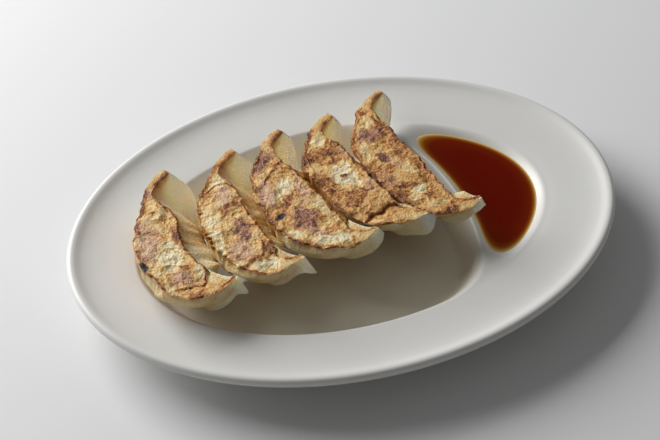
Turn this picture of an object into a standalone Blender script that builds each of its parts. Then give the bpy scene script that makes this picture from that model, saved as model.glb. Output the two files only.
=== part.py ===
# A divided oval plate carrying five pan-fried gyoza in a row, with a pool of dipping sauce.
# Units are metres and +Z is up. The origin is on the table under the middle of the plate.
# The plate's long axis runs along X and the sauce compartment is at its +X end.
# Sizes below are written in millimetres and multiplied by MM when the meshes are made.

import bpy
import bmesh
import math
import numpy as np

MM = 0.001

# Plate, millimetres
PLATE_HALF_LENGTH = 120.0
PLATE_HALF_WIDTH = 90.0
RIM_TOP_Z = 20.2
WELL_HALF_LENGTH = 93.0
WELL_HALF_WIDTH = 62.5
WELL_EDGE_Z = 16.4
SHOULDER_Z = 15.2
WELL_FLOOR_Z = 5.0
FOOT_HALF_LENGTH = 76.0
FOOT_HALF_WIDTH = 48.0
FOOT_WIDTH = 4.5
FOOT_RECESS_Z = 1.8
OVAL_STEPS = 60

# Partition between the two pockets: an arc that bows towards the sauce
PARTITION_CENTRE_X = -77.0
PARTITION_RADIUS = 130.0
MAIN_POCKET_CENTRE_X = -17.0
SAUCE_POCKET_CENTRE_X = 68.0
SAUCE_FLOOR_Z = 7.0
SAUCE_CORNER = 26.0
MAIN_CORNER = 16.0
SAUCE_TOP_Z = 13.7
SEAT_GAP = 0.35

# Gyoza, millimetres
FACE_Z = 32.5
WRAPPER_THICKNESS = 0.85
REST_GAP = 0.5
REST_REACH = 3.0
PRESS_SLOPE = 0.035
SEAM_WIDTH = 7.5
NEAR_SEAM_WIDTH = 4.0
NEAR_FULLNESS = 4.0
PLEAT_PITCH = 12.0
PLEAT_DEPTH = 0.7
GYOZA_SECTIONS = 29

# Each gyoza: middle point, heading in degrees from +Y towards +X, curl in degrees per mm and
# bend of the far tip and of the near tip in degrees; length along the fold, half width of the
# browned face, power of the face's taper at the far end, and the bulge of the convex side, of
# the concave side and of the convex side near the viewer; how far the body leans sideways per
# depth, there and at the far tip; and droop in degrees, width and flare of the far flange, and
# lift, hang, width and flare of the near one.
GYOZA = {
    "gyoza_1": dict(x=-82.6, y=0.8, heading=-0.6, curl=0.70, far_bend=28.0, near_bend=94.0,
                    length=96.4, face=9.9, taper=1.3, bulge_out=1.2, bulge_in=9.5, near_bulge=3.5,
                    lean=0.42, far_lean=0.85, far_droop=45.0, far_seam=7.5, far_flare=0.65,
                    near_lift=0, near_hang=0.55, near_seam=3, near_flare=1),
    "gyoza_2": dict(x=-52.0, y=3.2, heading=0.5, curl=0.60, far_bend=35.0, near_bend=92.0,
                    length=95.1, face=10.2, taper=1.5, bulge_out=2.5, bulge_in=6.8, near_bulge=1.2,
                    lean=0.42, far_lean=0.75, far_droop=40.0, far_seam=7.0, far_flare=0.6,
                    near_lift=0, near_hang=0.5, near_seam=3, near_flare=0.9),
    "gyoza_3": dict(x=-23.7, y=4.8, heading=-9.0, curl=0.67, far_bend=38.0, near_bend=80.0,
                    length=96.6, face=11.4, taper=1.6, bulge_out=0.3, bulge_in=4.5, near_bulge=3,
                    lean=0.42, far_lean=0.6, far_droop=45.0, far_seam=5.0, far_flare=0.45,
                    near_lift=0, near_hang=0.5, near_seam=3.4, near_flare=0.9),
    "gyoza_4": dict(x=2.8, y=9.2, heading=-12.0, curl=0.56, far_bend=52.0, near_bend=54.0,
                    length=89.7, face=10.3, taper=2.2, bulge_out=0.8, bulge_in=2, near_bulge=2,
                    lean=0.36, far_lean=0.5, far_droop=50.0, far_seam=4.0, far_flare=0.35,
                    near_lift=0, near_hang=0.5, near_seam=4, near_flare=0.6),
    "gyoza_5": dict(x=26.7, y=11.4, heading=-8.0, curl=0.51, far_bend=46.0, near_bend=60.0,
                    length=95.6, face=10.2, taper=2.2, bulge_out=0.3, bulge_in=2, near_bulge=0.5,
                    lean=0.3, far_lean=0.5, far_droop=50.0, far_seam=4.0, far_flare=0.35,
                    near_lift=0.1, near_hang=0.5, near_seam=3.5, near_flare=0.4),
}

# Plate surface, from the foot round the rim to the shoulder: half length, half width, height
PLATE_RINGS = [
    (FOOT_HALF_LENGTH - FOOT_WIDTH - 1.5, FOOT_HALF_WIDTH - FOOT_WIDTH - 1.5, FOOT_RECESS_Z),
    (FOOT_HALF_LENGTH - FOOT_WIDTH, FOOT_HALF_WIDTH - FOOT_WIDTH, 0.5),
    (FOOT_HALF_LENGTH - FOOT_WIDTH + 0.7, FOOT_HALF_WIDTH - FOOT_WIDTH + 0.7, 0.0),
    (FOOT_HALF_LENGTH - 0.7, FOOT_HALF_WIDTH - 0.7, 0.0),
    (FOOT_HALF_LENGTH, FOOT_HALF_WIDTH, 0.6),
    (FOOT_HALF_LENGTH + 1.6, FOOT_HALF_WIDTH + 1.6, 2.2),
    (86.0, 56.0, 3.6),
    (92.5, 62.0, 7.2),
    (98.0, 67.5, 10.9),
    (107.5, 77.2, 13.6),
    (115.5, 85.4, 15.3),
    (119.0, 89.0, 16.4),
    (PLATE_HALF_LENGTH, PLATE_HALF_WIDTH, 18.2),
    (119.4, 89.4, 19.6),
    (117.8, 87.8, RIM_TOP_Z),
    (115.6, 85.6, 19.6),
    (112.0, 82.0, 18.5),
    (105.5, 75.4, 17.5),
    (98.5, 68.3, 16.9),
    (WELL_HALF_LENGTH, WELL_HALF_WIDTH, WELL_EDGE_Z),
    (91.2, 60.8, 15.9),
    (90.2, 59.9, SHOULDER_Z),
]

# Pocket walls: inset from the well edge and height, top to bottom
MAIN_WALL = [
    (1.0, SHOULDER_Z + 6.0),
    (3.4, SHOULDER_Z),
    (4.5, 13.3),
    (6.0, 10.0),
    (7.6, 7.2),
    (9.6, 5.7),
    (12.6, WELL_FLOOR_Z),
]
SAUCE_WALL = [
    (0.6, SHOULDER_Z + 4.0),
    (4.2, SHOULDER_Z),
    (6.0, 14.0),
    (8.0, 11.8),
    (10.2, 9.5),
    (12.8, 7.8),
    (16.0, SAUCE_FLOOR_Z),
]


def smooth(t):
    t = min(max(t, 0.0), 1.0)
    return t * t * (3.0 - 2.0 * t)


def oval_distance(x, y, a, b):
    """Distance from the oval a, b, close to true near its line, negative inside."""
    k1 = math.hypot(x / a, y / b)
    k2 = math.hypot(x / (a * a), y / (b * b))
    return k1 * (k1 - 1.0) / max(k2, 1e-9)


def round_max(p, q, softness):
    """Larger of two distances, which rounds the corner where the two lines meet."""
    h = max(softness - abs(p - q), 0.0) / softness
    return max(p, q) + h * h * softness * 0.25


def main_distance(x, y):
    """Signed distance from the main pocket's edge: the well oval and the partition."""
    rim = oval_distance(x, y, WELL_HALF_LENGTH, WELL_HALF_WIDTH)
    wall = math.hypot(x - PARTITION_CENTRE_X, y) - PARTITION_RADIUS - 0.6
    return round_max(rim, wall, MAIN_CORNER)


def sauce_distance(x, y):
    """Signed distance from the sauce pocket's edge."""
    rim = oval_distance(x, y, WELL_HALF_LENGTH, WELL_HALF_WIDTH)
    wall = PARTITION_RADIUS - 4.6 - math.hypot(x - PARTITION_CENTRE_X, y)
    return round_max(rim, wall, SAUCE_CORNER)


def edge_radius(distance, cx, angle, inset):
    """Distance from (cx, 0) along the angle to the line at the given inset."""
    lo = 0.0
    hi = 2.0 * PLATE_HALF_LENGTH
    for step in range(40):
        mid = 0.5 * (lo + hi)
        if distance(cx + mid * math.cos(angle), mid * math.sin(angle)) < -inset:
            lo = mid
        else:
            hi = mid
    return 0.5 * (lo + hi)


def plate_top(x, y):
    """Height of the plate's upper surface, millimetres."""
    rho = [math.hypot(x / a, y / b) for a, b, z in PLATE_RINGS[12:]]
    if rho[-1] >= 1.0:
        for i in range(len(rho) - 1):
            if rho[i] <= 1.0 <= rho[i + 1]:
                t = (1.0 - rho[i]) / max(rho[i + 1] - rho[i], 1e-9)
                za = PLATE_RINGS[12 + i][2]
                zb = PLATE_RINGS[13 + i][2]
                return za + (zb - za) * t
        return PLATE_RINGS[12][2]
    best = SHOULDER_Z
    for distance, wall in ((main_distance, MAIN_WALL), (sauce_distance, SAUCE_WALL)):
        inset = -distance(x, y)
        if inset > wall[1][0]:
            insets = [w[0] for w in wall[1:]]
            heights = [w[1] for w in wall[1:]]
            best = min(best, float(np.interp(inset, insets, heights)))
    return best


def rest_height(x, y):
    """Height of whatever a gyoza can rest on close to there, plate or sauce."""
    high = max(plate_top(x, y), SAUCE_TOP_Z if x > 48.0 else 0.0)
    for k in range(8):
        turn = math.pi * k / 4.0
        high = max(high, plate_top(x + REST_REACH * math.cos(turn), y + REST_REACH * math.sin(turn)))
    return high


def mesh_object(name, verts, faces, collection):
    mesh = bpy.data.meshes.new(name)
    scaled = [(x * MM, y * MM, z * MM) for x, y, z in verts]
    mesh.from_pydata(scaled, [], faces)
    bm = bmesh.new()
    bm.from_mesh(mesh)
    bmesh.ops.recalc_face_normals(bm, faces=bm.faces)
    bm.to_mesh(mesh)
    bm.free()
    mesh.update()
    obj = bpy.data.objects.new(name, mesh)
    collection.objects.link(obj)
    return obj


def loft(name, rings, collection):
    """Closed body from rings of equal length, capped at both ends."""
    count = len(rings[0])
    verts = [p for ring in rings for p in ring]
    faces = []
    for k in range(len(rings) - 1):
        for i in range(count):
            j = (i + 1) % count
            lo = k * count
            hi = lo + count
            faces.append((lo + i, lo + j, hi + j, hi + i))
    faces.append(tuple(range(count - 1, -1, -1)))
    last = (len(rings) - 1) * count
    faces.append(tuple(range(last, last + count)))
    return mesh_object(name, verts, faces, collection)


def material(name, colour, roughness, coat=0.0):
    mat = bpy.data.materials.new(name)
    mat.use_nodes = True
    bsdf = mat.node_tree.nodes["Principled BSDF"]
    bsdf.inputs["Base Color"].default_value = (colour[0], colour[1], colour[2], 1.0)
    bsdf.inputs["Roughness"].default_value = roughness
    bsdf.inputs["Metallic"].default_value = 0.0
    bsdf.inputs["Coat Weight"].default_value = coat
    mat.diffuse_color = (colour[0], colour[1], colour[2], 1.0)
    return mat


# Start from an empty scene
for old in list(bpy.data.objects):
    bpy.data.objects.remove(old, do_unlink=True)

parts = bpy.data.collections.new("gyoza_plate")
cutters = bpy.data.collections.new("cutters")
bpy.context.scene.collection.children.link(parts)
bpy.context.scene.collection.children.link(cutters)

glaze = material("white_glazed_porcelain", (0.60, 0.60, 0.57), 0.25, 0.5)
dough = material("pan_fried_dough", (0.62, 0.42, 0.20), 0.5)
sauce_liquid = material("soy_dipping_sauce", (0.055, 0.008, 0.003), 0.08)


# Plate blank: oval rings from the foot, round the rolled rim and in to the shoulder
def oval_ring(a, b, z, steps):
    turn = [2.0 * math.pi * i / steps for i in range(steps)]
    return [(a * math.cos(t), b * math.sin(t), z) for t in turn]


plate_rings = [oval_ring(a, b, z, OVAL_STEPS) for a, b, z in PLATE_RINGS]
plate = loft("plate", plate_rings, parts)
plate.data.materials.append(glaze)


# The two pockets are cut into the filled blank
def pocket_rings(cx, distance, wall, steps, lift=0.0):
    rings = []
    for inset, z in wall:
        ring = []
        for i in range(steps):
            angle = 2.0 * math.pi * (i + 0.5) / steps
            r = edge_radius(distance, cx, angle, inset)
            ring.append((cx + r * math.cos(angle), r * math.sin(angle), z + lift))
        rings.append(ring)
    return rings


main_cutter = loft("main_pocket", pocket_rings(MAIN_POCKET_CENTRE_X, main_distance, MAIN_WALL, 56),
                   cutters)
sauce_cutter = loft("sauce_pocket", pocket_rings(SAUCE_POCKET_CENTRE_X, sauce_distance, SAUCE_WALL, 44),
                    cutters)
for cutter in (main_cutter, sauce_cutter):
    cutter.hide_render = True
    cutter.display_type = "WIRE"
    cut = plate.modifiers.new("cut_" + cutter.name, "BOOLEAN")
    cut.operation = "DIFFERENCE"
    cut.solver = "EXACT"
    cut.object = cutter


# The sauce fills its pocket up to a level just under the partition
sauce_profile = []
for inset, z in reversed(SAUCE_WALL[1:]):
    if z + SEAT_GAP < SAUCE_TOP_Z - 0.4:
        sauce_profile.append((inset, z + SEAT_GAP))
inset_a, z_a = SAUCE_WALL[2]
inset_b, z_b = SAUCE_WALL[3]
edge_z = SAUCE_TOP_Z - 0.6
edge_inset = inset_a + (inset_b - inset_a) * (z_a - edge_z + SEAT_GAP) / (z_a - z_b)
sauce_profile.append((edge_inset, edge_z))
sauce_profile.append((edge_inset - 0.5, SAUCE_TOP_Z))
sauce_rings = pocket_rings(SAUCE_POCKET_CENTRE_X, sauce_distance, sauce_profile, 44)
sauce = loft("sauce", sauce_rings, parts)
sauce.data.materials.append(sauce_liquid)


# A gyoza is a loft along its curled fold line. Each section has a flat browned face on
# top, a full belly that narrows to the pressed seam below, and the seam's two-layer
# flange. Towards the tips the filling ends and the section becomes the bare flange.
def spine(g, count):
    half = g["length"] / 2.0
    fine = 160
    xs = [0.0]
    ys = [0.0]
    heads = []
    step = g["length"] / fine
    for i in range(fine + 1):
        s = -half + step * i
        head = g["heading"] + g["curl"] * s
        head += g["far_bend"] * smooth((s - half + 26.0) / 26.0)
        head -= g["near_bend"] * smooth((-s - half + 26.0) / 26.0)
        heads.append(math.radians(head))
    for i in range(fine):
        mid = 0.5 * (heads[i] + heads[i + 1])
        xs.append(xs[-1] + math.sin(mid) * step)
        ys.append(ys[-1] + math.cos(mid) * step)
    ox = g["x"] - xs[fine // 2]
    oy = g["y"] - ys[fine // 2]
    out = []
    for k in range(count):
        u = -1.0 + 2.0 * k / (count - 1)
        s = half * (math.sin(u * math.pi / 2.0) * 0.35 + u * 0.65)
        i = min(max((s + half) / step, 0.0), fine - 1e-6)
        lo = int(i)
        f = i - lo
        x = xs[lo] + (xs[lo + 1] - xs[lo]) * f + ox
        y = ys[lo] + (ys[lo + 1] - ys[lo]) * f + oy
        out.append((s, x, y, heads[lo] + (heads[lo + 1] - heads[lo]) * f))
    return out


def gyoza_section(g, s):
    """Points (outward, height) round one section, starting on the face."""
    half = g["length"] / 2.0
    u = abs(s) / half
    body = FACE_Z - WELL_FLOOR_Z - REST_GAP
    fill = 1.0 - smooth((u - 0.30) / 0.50)
    near = smooth(0.5 - s / 30.0)
    th = WRAPPER_THICKNESS
    if s > 0.0:
        depth = body * max(1.0 - u ** 2.2, 0.0) ** 0.75
        full = g["face"] * (1.0 - min(max((u - 0.12) / 0.66, 0.0), 1.0) ** g["taper"])
        lean = g["lean"] + (g["far_lean"] - g["lean"]) * smooth((u - 0.45) / 0.4)
        power = 1.5 - 0.35 * smooth((u - 0.5) / 0.25)
        beta = math.radians(183.0 + g["far_droop"] * smooth((u - 0.55) / 0.35))
        seam = SEAM_WIDTH + (g["far_seam"] - SEAM_WIDTH) * smooth((u - 0.55) / 0.3)
    else:
        depth = body * max(1.0 - u ** 1.7, 0.0) ** 1.15 * (1.0 - g["near_lift"] * smooth((u - 0.62) / 0.38))
        full = g["face"] * math.sqrt(max(1.0 - (u / 0.75) ** 3.0, 0.0))
        lean = g["lean"] - 0.25 * smooth((u - 0.45) / 0.25) - g["near_hang"] * smooth((u - 0.68) / 0.25)
        power = 1.5 + 0.7 * smooth((u - 0.1) / 0.3)
        beta = math.radians(183.0 + 105.0 * smooth((u - 0.45) / 0.45))
        seam = NEAR_SEAM_WIDTH + (g["near_seam"] - NEAR_SEAM_WIDTH) * smooth((u - 0.6) / 0.3)
    depth = max(depth, 1.2)
    root = -depth * lean
    bulge_out = (g["bulge_out"] + (g["near_bulge"] - g["bulge_out"]) * near) * fill
    if s > 0.0:
        bulge_in = g["bulge_in"] * fill
    else:
        bulge_in = g["bulge_in"] * (1.0 - smooth((u - 0.32) / 0.30))
        bulge_in += NEAR_FULLNESS * smooth((u - 0.35) / 0.2) * (1.0 - smooth((u - 0.72) / 0.2))
    top_half = max(full, th)
    pts = []
    for q in (1.0, 0.5, 0.0, -0.5, -1.0):
        pts.append((top_half * q, FACE_Z - 0.5 * (abs(q) == 1.0)))

    def width(q, bulge, fall, shape):
        hull = full * max(1.0 - q ** fall, 0.0) ** shape
        swell = bulge * math.sin(math.pi * min(q ** 0.75, 1.0))
        return th + max(hull - th, 0.0) + swell

    for q in (0.18, 0.42, 0.66, 0.86):
        n = root * q ** power - width(q, bulge_in, 2.6, 0.6)
        pts.append((n, FACE_Z - 0.5 - (depth - 0.5) * q))
    base = FACE_Z - depth
    foot_n = root * 0.93 ** power - width(0.93, bulge_in, 2.6, 0.6)
    foot_z = base + 0.07 * (depth - 0.5)
    edge_n = root + math.cos(beta) * seam
    tucked = 1.0 if s > 0.0 else 1.0 - smooth((u - 0.42) / 0.25)
    edge_n += (min(edge_n, foot_n - 2.5) - edge_n) * tucked
    edge_z = base + math.sin(beta) * seam
    off_n = -math.sin(beta) * th
    off_z = math.cos(beta) * th
    pts.append((0.45 * foot_n + 0.55 * (edge_n - off_n), 0.45 * foot_z + 0.55 * (edge_z - off_z)))
    pts.append((edge_n - off_n, edge_z - off_z))
    pts.append((edge_n + off_n, edge_z + off_z))
    pts.append((0.45 * root + 0.55 * edge_n + off_n, 0.45 * base + 0.55 * edge_z + off_z))
    pts.append((root + off_n, base + off_z))
    for q in (0.90, 0.68, 0.44, 0.20):
        ripple = PLEAT_DEPTH * math.sin(2.0 * math.pi * s / PLEAT_PITCH) * fill * q
        n = root * q ** power + width(q, bulge_out, 1.5 + 0.5 * near, 0.9 + 0.2 * near) + ripple
        pts.append((n, FACE_Z - 0.5 - (depth - 0.5) * q))
    return pts


def make_gyoza(name, g):
    half = g["length"] / 2.0
    points = []
    for s, x, y, head in spine(g, GYOZA_SECTIONS):
        u = abs(s) / half
        flare = (g["far_flare"] if s > 0.0 else -g["near_flare"]) * smooth((u - 0.62) / 0.38)
        for n, z in gyoza_section(g, s * 0.992):
            drop = FACE_Z - z
            px = x + math.sin(head) * flare * drop - math.cos(head) * n
            py = y + math.cos(head) * flare * drop + math.sin(head) * n
            points.append((px, py, drop))
    points = np.array(points)
    # Where the plate rises under it, the soft dumpling is pressed up towards its face
    room = FACE_Z - np.array([rest_height(px, py) + REST_GAP for px, py, drop in points])
    press = np.minimum(1.0, room / np.maximum(points[:, 2], 0.01))
    away = np.hypot(points[:, None, 0] - points[None, :, 0], points[:, None, 1] - points[None, :, 1])
    eased = np.min(press[None, :] + PRESS_SLOPE * away, axis=1)
    points[:, 2] = FACE_Z - points[:, 2] * np.minimum(eased, 1.0)
    count = len(points) // GYOZA_SECTIONS
    rings = [[tuple(q) for q in points[k * count:(k + 1) * count]] for k in range(GYOZA_SECTIONS)]
    obj = loft(name, rings, parts)
    obj.data.materials.append(dough)
    return obj


for gyoza_name, values in GYOZA.items():
    make_gyoza(gyoza_name, values)

for obj in parts.objects:
    obj.data.shade_smooth()
    obj.data.set_sharp_from_angle(angle=math.radians(40.0))
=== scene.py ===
import bpy
import math
import numpy as np
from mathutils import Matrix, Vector


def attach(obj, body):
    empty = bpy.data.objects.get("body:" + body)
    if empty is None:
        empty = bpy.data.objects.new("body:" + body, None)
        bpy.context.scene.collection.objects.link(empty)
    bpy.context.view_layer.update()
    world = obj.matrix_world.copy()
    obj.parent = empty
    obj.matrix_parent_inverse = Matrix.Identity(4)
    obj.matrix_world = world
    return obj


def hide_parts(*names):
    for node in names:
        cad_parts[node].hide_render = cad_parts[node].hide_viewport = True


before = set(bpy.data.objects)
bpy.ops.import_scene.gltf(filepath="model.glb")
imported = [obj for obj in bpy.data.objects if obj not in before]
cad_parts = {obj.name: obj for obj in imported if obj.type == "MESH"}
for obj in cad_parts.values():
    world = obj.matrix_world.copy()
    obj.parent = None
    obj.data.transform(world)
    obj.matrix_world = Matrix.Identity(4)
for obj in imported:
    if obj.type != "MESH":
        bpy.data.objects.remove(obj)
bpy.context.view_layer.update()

# Studio: a pale table top, one large soft box behind and to the left, and a dim grey room.
# The camera looks down at the serving from in front, a long way off with a long lens.
TURN = math.radians(22.84)


def room_to_plate(x, y, z):
    """A point of the room, whose X runs across the view, in the plate's own frame."""
    return Vector((x * math.cos(TURN) + y * math.sin(TURN),
                   -x * math.sin(TURN) + y * math.cos(TURN), z))


def aim(obj, place, target):
    obj.location = place
    obj.rotation_euler = (Vector(target) - Vector(place)).to_track_quat("-Z", "Y").to_euler()


camera_data = bpy.data.cameras.new("camera")
camera_data.sensor_width = 36.0
camera_data.lens = 98.18
camera_data.clip_end = 20.0
camera = bpy.data.objects.new("camera", camera_data)
bpy.context.scene.collection.objects.link(camera)
aim(camera, (-0.2229, -0.5120, 0.5385), (0.00215, 0.02234, -0.003))
bpy.context.scene.camera = camera
bpy.context.scene.view_settings.view_transform = "Standard"


def soft_box(name, place, target, width, height, power, colour):
    data = bpy.data.lights.new(name, "AREA")
    data.shape = "RECTANGLE"
    data.size = width
    data.size_y = height
    data.energy = power
    data.color = colour
    lamp = bpy.data.objects.new(name, data)
    bpy.context.scene.collection.objects.link(lamp)
    aim(lamp, place, target)


soft_box("key_soft_box", room_to_plate(-0.898, 0.633, 0.596), (0.0, 0.0, 0.0), 1.05, 0.8, 25.5,
         (1.0, 0.99, 0.975))

world = bpy.data.worlds.new("grey_room")
world.use_nodes = True
world.node_tree.nodes["Background"].inputs["Color"].default_value = (1.0, 0.985, 0.96, 1.0)
world.node_tree.nodes["Background"].inputs["Strength"].default_value = 0.165
bpy.context.scene.world = world


def start_fresh():
    if bpy.context.object is not None and bpy.context.object.mode != "OBJECT":
        bpy.ops.object.mode_set(mode="OBJECT")
    bpy.ops.object.select_all(action="DESELECT")


def plain_material(name):
    mat = bpy.data.materials.new(name)
    mat.use_nodes = True
    nodes = mat.node_tree.nodes
    return mat, nodes, mat.node_tree.links, nodes["Principled BSDF"]


start_fresh()
bpy.ops.mesh.primitive_plane_add(size=6.0, location=(0.0, 0.0, -0.0002))
table = bpy.context.object
table.name = "table_top"
bpy.ops.object.transform_apply(location=True)
table_mat, nodes, links, bsdf = plain_material("matt_white_table")
bsdf.inputs["Base Color"].default_value = (0.748, 0.757, 0.775, 1.0)
bsdf.inputs["Roughness"].default_value = 0.55
bsdf.inputs["Specular IOR Level"].default_value = 0.2
table.data.materials.append(table_mat)


# Plate: glazed white porcelain, pressed in one piece as an oval with a rolled rim, a broad
# dished flange, a deep main well and a small sauce well behind a low curved partition.
MM = 0.001
REACH_A, REACH_B = 119.97, 89.97
WELL_A, WELL_B = 93.0, 62.5
EDGE_Z = 16.4
FLOOR_Z = 5.0
SAUCE_FLOOR_Z = 7.0
SAUCE_Z = 13.7
PARTITION_X, PARTITION_R = -77.0, 130.0


def ease(t):
    t = np.clip(t, 0.0, 1.0)
    return t * t * (3.0 - 2.0 * t)


def oval_distance(x, y, a, b):
    k1 = np.hypot(x / a, y / b)
    k2 = np.hypot(x / (a * a), y / (b * b))
    return k1 * (k1 - 1.0) / np.maximum(k2, 1e-9)


def round_max(p, q, softness):
    h = np.maximum(softness - np.abs(p - q), 0.0) / softness
    return np.maximum(p, q) + h * h * softness * 0.25


def main_inset(x, y):
    """How far a point lies inside the main well's edge line, millimetres."""
    wall = np.hypot(x - PARTITION_X, y) - PARTITION_R - 1.0
    return -round_max(oval_distance(x, y, WELL_A, WELL_B), wall, 16.0)


def sauce_inset(x, y):
    wall = PARTITION_R - 5.2 - np.hypot(x - PARTITION_X, y)
    return -round_max(oval_distance(x, y, WELL_A, WELL_B), wall, 17.0)


def well_height(x, y):
    """Upper surface of the plate inside the well's oval, millimetres."""
    inset = -oval_distance(x, y, WELL_A, WELL_B)
    shelf = EDGE_Z - 0.6 * (1.0 - np.exp(-np.maximum(inset, 0.0) / 4.5))
    main = shelf - (shelf - FLOOR_Z) * ease((main_inset(x, y) - 0.9) / 10.6)
    side = shelf - (shelf - SAUCE_FLOOR_Z) * ease((sauce_inset(x, y) - 2.4) / 13.0)
    return np.minimum(main, side)


def flowing_line(points, count):
    """Points spread evenly along a smooth line through the given ones."""
    p = np.array(points, dtype=float)
    p = np.vstack([2.0 * p[0] - p[1], p, 2.0 * p[-1] - p[-2]])
    dense = []
    for i in range(1, len(p) - 2):
        t = np.linspace(0.0, 1.0, 24, endpoint=False)[:, None]
        a, b, c, d = p[i - 1], p[i], p[i + 1], p[i + 2]
        dense.append(0.5 * (2.0 * b + (c - a) * t + (2.0 * a - 5.0 * b + 4.0 * c - d) * t ** 2
                            + (3.0 * b - 3.0 * c + d - a) * t ** 3))
    dense = np.vstack(dense + [p[-2][None, :]])
    along = np.concatenate([[0.0], np.cumsum(np.linalg.norm(np.diff(dense, axis=0), axis=1))])
    spread = np.linspace(0.0, along[-1], count)
    return np.stack([np.interp(spread, along, dense[:, k]) for k in range(p.shape[1])], axis=1)


def shaped_sphere(name, segments, table):
    """A UV sphere whose rings and segments are carried to table[ring, segment], in mm."""
    start_fresh()
    rings = table.shape[0] - 1
    bpy.ops.mesh.primitive_uv_sphere_add(segments=segments, ring_count=rings, radius=1.0)
    piece = bpy.context.object
    piece.name = name
    piece.data.name = name
    count = len(piece.data.vertices)
    co = np.empty(count * 3)
    piece.data.vertices.foreach_get("co", co)
    co = co.reshape(-1, 3)
    ring = np.rint(np.arccos(np.clip(co[:, 2], -1.0, 1.0)) * rings / math.pi).astype(int)
    seg = np.rint(np.arctan2(co[:, 1], co[:, 0]) * segments / (2.0 * math.pi)).astype(int) % segments
    seg[(ring == 0) | (ring == rings)] = 0
    piece.data.vertices.foreach_set("co", (table[ring, seg] * MM).ravel())
    piece.data.update()
    piece.data.shade_smooth()
    return piece, ring, seg


# Half length, half width and height of the ovals from the well's edge out over the flange,
# round the rolled rim, back under the flange and over the foot ring to the recess beneath
FLANGE = [(93.0, 62.5, 16.40), (95.0, 64.6, 16.62), (99.0, 68.7, 16.95), (105.0, 74.8, 17.45),
          (110.0, 79.9, 18.05), (113.6, 83.5, 18.80), (115.6, 85.5, 19.55)]
RIM = [(115.6, 85.5, 19.55), (116.9, 86.8, 20.05), (118.2, 88.1, 20.2), (119.3, 89.25, 19.8),
       (119.95, 89.95, 18.7), (119.9, 89.9, 17.5), (119.1, 89.1, 16.5), (117.4, 87.4, 15.8)]
UNDER = [(117.4, 87.4, 15.8), (113.0, 83.0, 14.9), (106.0, 75.8, 13.4), (99.0, 68.6, 11.3),
         (93.5, 63.0, 8.1), (87.5, 57.4, 4.4), (81.0, 52.2, 2.8), (77.6, 49.6, 2.1),
         (76.2, 48.2, 1.2), (75.4, 47.4, 0.25), (74.6, 46.6, 0.0), (72.8, 44.8, 0.0),
         (72.0, 44.0, 0.25), (71.2, 43.2, 1.1), (69.5, 41.5, 1.7), (64.0, 36.0, 1.8)]
SEGMENTS = 336
turn = 2.0 * math.pi * np.arange(SEGMENTS) / SEGMENTS
share = 1.0 - np.concatenate([np.linspace(0.0, 0.24, 76, endpoint=False),
                              np.linspace(0.24, 0.60, 66, endpoint=False),
                              np.linspace(0.60, 1.0, 14)])
inner = []
for f in share[::-1]:
    x = WELL_A * f * np.cos(turn)
    y = WELL_B * f * np.sin(turn)
    inner.append(np.stack([x, y, well_height(x, y)], axis=1))
outer = []
for a, b, z in np.vstack([flowing_line(FLANGE, 30)[1:], flowing_line(RIM, 26)[1:],
                          flowing_line(UNDER, 74)[1:]]):
    a, b, z = min(a, REACH_A), min(b, REACH_B), max(z, 0.0)
    outer.append(np.stack([a * np.cos(turn), b * np.sin(turn), np.full(SEGMENTS, z)], axis=1))
recess_a, recess_b, recess_z = UNDER[-1]
for f in (0.75, 0.5, 0.25, 0.0):
    outer.append(np.stack([recess_a * f * np.cos(turn), recess_b * f * np.sin(turn),
                           np.full(SEGMENTS, recess_z)], axis=1))
plate, ring, seg = shaped_sphere("oval_plate", SEGMENTS, np.array(inner + outer))

glaze, nodes, links, bsdf = plain_material("white_porcelain_glaze")
place = nodes.new("ShaderNodeTexCoord")
cloud = nodes.new("ShaderNodeTexNoise")
cloud.inputs["Scale"].default_value = 26.0
cloud.inputs["Detail"].default_value = 3.0
links.new(place.outputs["Object"], cloud.inputs["Vector"])
tone = nodes.new("ShaderNodeValToRGB")
tone.color_ramp.elements[0].position = 0.3
tone.color_ramp.elements[0].color = (0.646, 0.648, 0.636, 1.0)
tone.color_ramp.elements[1].position = 0.7
tone.color_ramp.elements[1].color = (0.674, 0.677, 0.667, 1.0)
links.new(cloud.outputs["Fac"], tone.inputs["Fac"])
# Painted warm bounce light: the glaze turns creamier from the well's edge down towards its floor, standing
# for light thrown back from the dumplings into the shaded well.
height = nodes.new("ShaderNodeSeparateXYZ")
links.new(place.outputs["Object"], height.inputs["Vector"])
warm_bounce_share = nodes.new("ShaderNodeMapRange")
warm_bounce_share.inputs["From Min"].default_value = 0.0165
warm_bounce_share.inputs["From Max"].default_value = 0.0095
links.new(height.outputs["Z"], warm_bounce_share.inputs["Value"])
warm_bounce_tint = nodes.new("ShaderNodeMix")
warm_bounce_tint.data_type = "RGBA"
warm_bounce_tint.inputs[7].default_value = (0.75, 0.708, 0.58, 1.0)
links.new(warm_bounce_share.outputs["Result"], warm_bounce_tint.inputs[0])
links.new(tone.outputs["Color"], warm_bounce_tint.inputs[6])
links.new(warm_bounce_tint.outputs[2], bsdf.inputs["Base Color"])
skin = nodes.new("ShaderNodeTexNoise")
skin.inputs["Scale"].default_value = 420.0
skin.inputs["Detail"].default_value = 2.0
links.new(place.outputs["Object"], skin.inputs["Vector"])
gloss = nodes.new("ShaderNodeMapRange")
gloss.inputs["To Min"].default_value = 0.30
gloss.inputs["To Max"].default_value = 0.40
links.new(skin.outputs["Fac"], gloss.inputs["Value"])
links.new(gloss.outputs["Result"], bsdf.inputs["Roughness"])
ripple = nodes.new("ShaderNodeTexNoise")
ripple.inputs["Scale"].default_value = 55.0
ripple.inputs["Detail"].default_value = 1.0
links.new(place.outputs["Object"], ripple.inputs["Vector"])
bump = nodes.new("ShaderNodeBump")
bump.inputs["Strength"].default_value = 0.10
bump.inputs["Distance"].default_value = 0.0006
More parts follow.
